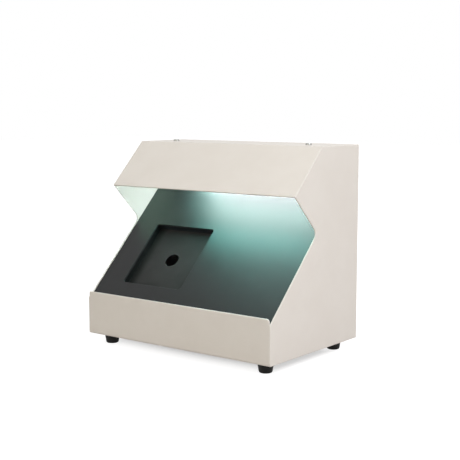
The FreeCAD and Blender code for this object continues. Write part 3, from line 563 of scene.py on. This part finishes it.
def capColor(tree):
    along = axesOf(tree, objectPlace(tree))["X"]
    pin = maths(tree, "GREATER_THAN", maths(tree, "ABSOLUTE", along), capLook["pinStart"])
    return mixColor(tree, pin, capLook["color"], capLook["pinColor"])


tubeLook = {
    "glow": (0.785, 0.98, 0.98, 1.0),
    "endGlow": (0.20, 0.28, 0.20, 1.0),
    "strength": 31.0,
    "endReach": 14 * mm,  # the light falls off over this length at each end
    "powder": (0.86, 0.88, 0.86, 1.0),
    "powderShade": (0.82, 0.85, 0.83, 1.0),
    "grain": 900.0,
    "mottle": 60.0,
    "rough": (0.34, 0.44),
    "coatRough": 0.04,
}


def makeTubeGlass():
    look = tubeLook
    sockets = {
        "Coat Weight": 1.0,
        "Coat Roughness": look["coatRough"],
        "Emission Strength": look["strength"],
    }
    material, tree, shader = newFinish("tubeGlass", sockets)
    grain = placeGroup(tree, surfaceGrain, {"Scale": look["grain"], "Mottle": look["mottle"]})
    powder = mixColor(tree, grain["Tone"], look["powder"], look["powderShade"])
    feed(tree, shader.inputs["Base Color"], powder)
    rough = ranged(tree, grain["Fine"], *grainLook["band"], *look["rough"])
    feed(tree, shader.inputs["Roughness"], rough)
    along = axesOf(tree, objectPlace(tree))["X"]
    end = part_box("tube_glass")[1].x
    reach = maths(tree, "ABSOLUTE", along)
    lit = ranged(tree, reach, end - look["endReach"], end, 1.0, 0.0, smooth=True)
    feed(tree, shader.inputs["Emission Color"], mixColor(tree, lit, look["endGlow"], look["glow"]))
    return material


fuseLook = {
    "color": (0.93, 0.96, 0.95, 1.0),
    "ior": 1.47,
    "grain": 900.0,
    "mottle": 160.0,
    "rough": (0.02, 0.06),
}


def makeFuseGlass():
    look = fuseLook
    sockets = {"Base Color": look["color"], "Transmission Weight": 1.0, "IOR": look["ior"]}
    material, tree, shader = newFinish("fuseGlass", sockets)
    grain = placeGroup(tree, surfaceGrain, {"Scale": look["grain"], "Mottle": look["mottle"]})
    feed(tree, shader.inputs["Roughness"], ranged(tree, grain["Tone"], 0.0, 1.0, *look["rough"]))
    return material


finishes = {
    "cabinet_paint": makeCoat("cabinetPaint", cabinetLook, shadedInside),
    "bed_coat": makeCoat("bedCoat", bedLook),
    "zinc_plate": makeMetal("zincPlate", zincLook),
    "reflector_white": makeCoat("reflectorEnamel", reflectorLook),
    "holder_plastic": makeCoat("holderPlastic", holderLook),
    "tube_glass": makeTubeGlass(),
    "cap_metal": makeMetal("capMetal", capLook, capColor),
    "contact_brass": makeMetal("contactBrass", brassLook),
    "black_plastic": makeCoat("blackPlastic", blackPlasticLook),
    "rocker_plastic": makeCoat("rockerPlastic", rockerLook),
    "foot_rubber": makeCoat("footRubber", footLook),
    "ballast_coat": makeCoat("ballastCoat", ballastLook),
    "fuse_glass": makeFuseGlass(),
    "live_insulation": makeLead("liveSleeve", leadColors["live"]),
    "neutral_insulation": makeLead("neutralSleeve", leadColors["neutral"]),
    "earth_insulation": makeLead("earthSleeve", leadColors["earth"], earthStripe),
    "lamp_insulation": makeLead("lampSleeve", leadColors["lamp"]),
}

for node in nodes.values():
    slotName = node.material_slots[0].material.name.split(".")[0]
    node.material_slots[0].material = finishes[slotName]
nodes["recess_tray"].material_slots[0].material = makeCoat("recessMatt", recessLook, recessShadedColor)
print("finishes:", len(finishes), "by slot and one for the recess, on", len(nodes), "nodes")


# new objects

def addObject(name, data):
    item = bpy.data.objects.new(name, data)
    bpy.context.scene.collection.objects.link(item)
    return item


def addMesh(name, mesh, finish):
    data = bpy.data.meshes.new(name)
    mesh.to_mesh(data)
    mesh.free()
    data.materials.append(finish)
    return addObject(name, data)


# on and off marks moulded into the rocker's two faces

markLook = {
    "barWide": 1.1 * mm,
    "barTall": 4.6 * mm,
    "barSteps": 10,  # along each round end
    "ringOuter": 2.4 * mm,
    "ringInner": 1.55 * mm,
    "ringSteps": 40,
    "rise": 0.05 * mm,
    "sink": 0.08 * mm,  # depth of the marks' roots in the rocker
    "fromPivot": 6.2 * mm,
    "rayStart": 10 * mm,  # behind the rocker, where the search for its face begins
    "color": (0.80, 0.80, 0.78, 1.0),
    "shade": (0.74, 0.74, 0.71, 1.0),
    "edgeColor": (0.86, 0.86, 0.84, 1.0),
    "wearAndSheen": 0.3,
    "dust": 0.0,
    "grain": 4000.0,
    "mottle": 400.0,
    "rough": (0.35, 0.48),
    "relief": 0.05,
    "depth": 0.03 * mm,
    "edgeRound": 0.08 * mm,
}


def circlePoints(radius, count):
    steps = [2 * math.pi * k / count for k in range(count)]
    return [(radius * math.cos(a), radius * math.sin(a)) for a in steps]


def barPoints(wide, tall, count):
    radius = wide / 2
    points = []
    for end, start in ((1, 0.0), (-1, math.pi)):
        middle = end * (tall / 2 - radius)
        for k in range(count + 1):
            angle = start + math.pi * k / count
            points.append((radius * math.cos(angle), middle + radius * math.sin(angle)))
    return points


def onRocker(x, z, lift):
    rocker = nodes["switch_rocker"]
    start = Vector((x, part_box("switch_rocker")[1].y + markLook["rayStart"], z))
    hit, place, normal, _ = rocker.ray_cast(start, Vector((0, -1, 0)))
    if not hit:
        raise ValueError("a switch mark misses the rocker")
    return place + normal * lift


def makeMark(name, centre, outer, inner=None):
    mesh = bmesh.new()
    lifts = (markLook["rise"], -markLook["sink"])
    rings = []
    for outline in filter(None, (outer, inner)):
        pairs = []
        for dx, dz in outline:
            x, z = centre[0] + dx, centre[1] + dz
            pairs.append([mesh.verts.new(onRocker(x, z, lift)) for lift in lifts])
        rings.append(pairs)
    for pairs in rings:
        for k, (top, low) in enumerate(pairs):
            nextTop, nextLow = pairs[(k + 1) % len(pairs)]
            mesh.faces.new((top, nextTop, nextLow, low))
    for level in (0, 1):
        if inner is None:
            mesh.faces.new([pair[level] for pair in rings[0]])
            continue
        for k in range(len(outer)):
            far = (k + 1) % len(outer)
            corners = (rings[0][k], rings[0][far], rings[1][far], rings[1][k])
            mesh.faces.new([corner[level] for corner in corners])
    bmesh.ops.recalc_face_normals(mesh, faces=mesh.faces)
    mark = addMesh(name, mesh, markFinish)
    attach(mark, "rocker")


rockerPivot = next(j for j in frame["joints"] if j["name"] == "rocker_tilt")["pos_m"]
markFinish = makeCoat("switchMark", markLook)
onCentre = (rockerPivot[0], rockerPivot[2] + markLook["fromPivot"])
offCentre = (rockerPivot[0], rockerPivot[2] - markLook["fromPivot"])
onBar = barPoints(markLook["barWide"], markLook["barTall"], markLook["barSteps"])
offOuter = circlePoints(markLook["ringOuter"], markLook["ringSteps"])
offInner = circlePoints(markLook["ringInner"], markLook["ringSteps"])
makeMark("switch_on_mark", onCentre, onBar)
makeMark("switch_off_mark", offCentre, offOuter, offInner)
print("marks: on and off on the rocker")


# floor, light and camera

floorLook = {
    "reach": 6.0,
    "segments": 8,
    "rough": 0.9,
    "nearShadeColor": (0.47, 0.42, 0.41, 1.0),  # painted shade: darker and pinker close by, as the object sees it, so less bounce reaches its lower side
    "farColor": (0.60, 0.57, 0.565, 1.0),
    "seenColor": (0.30, 0.30, 0.30, 1.0),  # its lit share in the picture, under the white lift
    "deepLift": 0.46,  # white that the floor adds to its own lit colour, far in under the cabinet
    "nearLift": 0.90,  # the same close to the cabinet
    "farLift": 1.0,  # and on the open floor
    "shallow": 12 * mm,  # how far in under the cabinet the painted shadow starts
    "deep": 52 * mm,  # and is full
    "sideStretch": 1.9,  # the painted shadow reaches in faster from the two sides
    "cornerBlend": 14 * mm,
    "farEdge": 0.45,  # where the open floor begins
}


def seenDirectly(tree):
    path = addNode(tree, "ShaderNodeLightPath").outputs
    seen = maths(tree, "MAXIMUM", path["Is Camera Ray"], path["Is Glossy Ray"])
    return maths(tree, "MAXIMUM", seen, path["Is Transmission Ray"])


def footprintDepth(tree, place):
    low, high = cadBox
    axes = axesOf(tree, place)
    acrossIn = maths(tree, "SUBTRACT", high[0], maths(tree, "ABSOLUTE", axes["X"]))
    frontIn = maths(tree, "SUBTRACT", -low[1], maths(tree, "ABSOLUTE", axes["Y"]))
    acrossIn = maths(tree, "MULTIPLY", acrossIn, floorLook["sideStretch"])
    depth = maths(tree, "SMOOTH_MIN", acrossIn, frontIn)
    depth.node.inputs[2].default_value = floorLook["cornerBlend"]  # 2 is how softly the two meet
    return depth


def makeFloorWhite():
    look = floorLook
    sockets = {"Roughness": look["rough"], "Specular IOR Level": 0.0, "Emission Color": pureWhite}
    material, tree, shader = newFinish("floorWhite", sockets)
    place = objectPlace(tree)
    length = addNode(tree, "ShaderNodeVectorMath", operation="LENGTH")
    feed(tree, length.inputs[0], place)
    seen = seenDirectly(tree)
    away = ranged(tree, length.outputs["Value"], 0.0, look["farEdge"], 0.0, 1.0, smooth=True)
    bounce = mixColor(tree, away, look["nearShadeColor"], look["farColor"])
    feed(tree, shader.inputs["Base Color"], mixColor(tree, seen, bounce, look["seenColor"]))
    # painted shadow: the white the floor adds shrinks in under the cabinet
    inward = footprintDepth(tree, place)
    lifts = (look["nearLift"], look["deepLift"])
    under = ranged(tree, inward, look["shallow"], look["deep"], *lifts, smooth=True)
    lift = ranged(tree, away, 0.0, 1.0, under, look["farLift"])
    feed(tree, shader.inputs["Emission Strength"], maths(tree, "MULTIPLY", lift, seen))
    return material


def makeFloor():
    mesh = bmesh.new()
    count = floorLook["segments"]
    bmesh.ops.create_grid(mesh, x_segments=count, y_segments=count, size=floorLook["reach"])
    floor = addMesh("studioFloor", mesh, makeFloorWhite())


lightLook = {
    "ambient": 0.43,
    "ambientColor": (1.0, 0.99, 0.96, 1.0),
    "aim": (0.0, 0.0, 0.14),
    "boxes": {
        "topBox": {
            "place": (0.15, -0.25, 1.7),
            "size": (2.2, 2.2),
            "power": 10.2,
            "color": (0.95, 0.965, 1.0),
        },
        "rightBox": {
            "place": (1.2, -0.35, 1.0),
            "size": (1.0, 1.0),
            "power": 13.3,
            "color": (0.97, 0.985, 1.0),
        },
        "frontBox": {
            "place": (-0.4, -2.2, 0.42),
            "size": (1.6, 0.8),
            "power": 5.6,
            "color": (1.0, 0.93, 0.62),
        },
    },
}


def makeWorld():
    world = bpy.data.worlds.new("studio")
    world.use_nodes = True
    tree = world.node_tree
    tree.nodes.clear()
    dim = {"Color": lightLook["ambientColor"], "Strength": lightLook["ambient"]}
    ambient = addNode(tree, "ShaderNodeBackground", dim)
    white = addNode(tree, "ShaderNodeBackground", {"Color": pureWhite, "Strength": 1.0})
    mixed = addNode(tree, "ShaderNodeMixShader", {"Fac": seenDirectly(tree)})
    output = addNode(tree, "ShaderNodeOutputWorld")
    tree.links.new(ambient.outputs[0], mixed.inputs[1])
    tree.links.new(white.outputs[0], mixed.inputs[2])
    tree.links.new(mixed.outputs[0], output.inputs["Surface"])
    bpy.context.scene.world = world


def addAreaLight(name, look, size, toward):
    light = bpy.data.lights.new(name, "AREA")
    light.shape = "RECTANGLE"
    light.size, light.size_y = size
    light.energy, light.color = look["power"], look["color"]
    lamp = addObject(name, light)
    lamp.location = look["place"]
    lamp.rotation_mode = "QUATERNION"
    lamp.rotation_quaternion = toward.to_track_quat("-Z", "Y")
    lamp.visible_camera = False
    return lamp


def makeBoxLight(name, look):
    toward = Vector(lightLook["aim"]) - Vector(look["place"])
    addAreaLight(name, look, look["size"], toward)


lampLook = {
    "wide": 14 * mm,
    "aim": (0.0, 0.0, -1.0),
    "strips": {  # what the bed's coat mirrors of the lit lamp, strip by strip
        "hoodGlow": {
            "place": (11 * mm, -25 * mm, 225 * mm),
            "long": 188 * mm,
            "power": 0.20,
            "color": (0.14, 1.0, 0.87),
        },
        "frontGlow": {
            "place": (4 * mm, 8 * mm, 254 * mm),
            "long": 202 * mm,
            "power": 0.415,
            "color": (0.57, 1.0, 0.90),
        },
        "rearGlow": {
            "place": (3 * mm, 56 * mm, 250 * mm),
            "long": 204 * mm,
            "power": 0.90,
            "color": (0.97, 0.94, 1.0),
        },
        "cornerGlow": {
            "place": (-98 * mm, 54 * mm, 250 * mm),
            "long": 28 * mm,
            "power": 0.14,
            "color": (0.42, 1.0, 0.90),
        },
        "endGlow": {
            "place": (-112 * mm, 12 * mm, 250 * mm),
            "long": 18 * mm,
            "wide": 26 * mm,
            "power": 0.015,
            "color": (0.15, 1.0, 0.85),
        },
        "wallGlow": {
            "place": (-147 * mm, 8 * mm, 196 * mm),
            "long": 76 * mm,
            "wide": 76 * mm,
            "aim": (1.0, 0.0, 0.0),
            "power": 0.016,
            "color": (0.42, 1.0, 0.66),
        },
    },
}


def makeLampStrip(name, look):
    size = (look["long"], look.get("wide", lampLook["wide"]))
    toward = Vector(look.get("aim", lampLook["aim"]))
    strip = addAreaLight(name, look, size, toward)
    strip.visible_diffuse = False  # it shows only as a mirror image


cameraLook = {
    "azimuth": 37.81,
    "elevation": 7.09,
    "distance": 1.3468,
    "target": (13.15 * mm, 2.0 * mm, 156.29 * mm),
    "lens": 80.22,
    "sensor": 36.0,
    "clip": (0.05, 50.0),
}


def makeCamera():
    look = cameraLook
    around, up = math.radians(look["azimuth"]), math.radians(look["elevation"])
    back = Vector((math.sin(around) * math.cos(up), -math.cos(around) * math.cos(up), math.sin(up)))
    data = bpy.data.cameras.new("photoCamera")
    data.lens, data.sensor_width = look["lens"], look["sensor"]
    data.clip_start, data.clip_end = look["clip"]
    camera = addObject("photoCamera", data)
    camera.location = Vector(look["target"]) + back * look["distance"]
    camera.rotation_mode = "QUATERNION"
    camera.rotation_quaternion = (-back).to_track_quat("-Z", "Y")
    bpy.context.scene.camera = camera


makeFloor()
makeWorld()
for boxName, boxLook in lightLook["boxes"].items():
    makeBoxLight(boxName, boxLook)
for stripName, stripLook in lampLook["strips"].items():
    makeLampStrip(stripName, stripLook)
nodes["tube_glass"].visible_glossy = False  # mirror images of it come from the strips
makeCamera()
bpy.context.scene.view_settings.view_transform = "Standard"
counts = (len(lightLook["boxes"]), len(lampLook["strips"]))
print("studio: floor, world, %d boxes, %d lamp strips and camera" % counts)
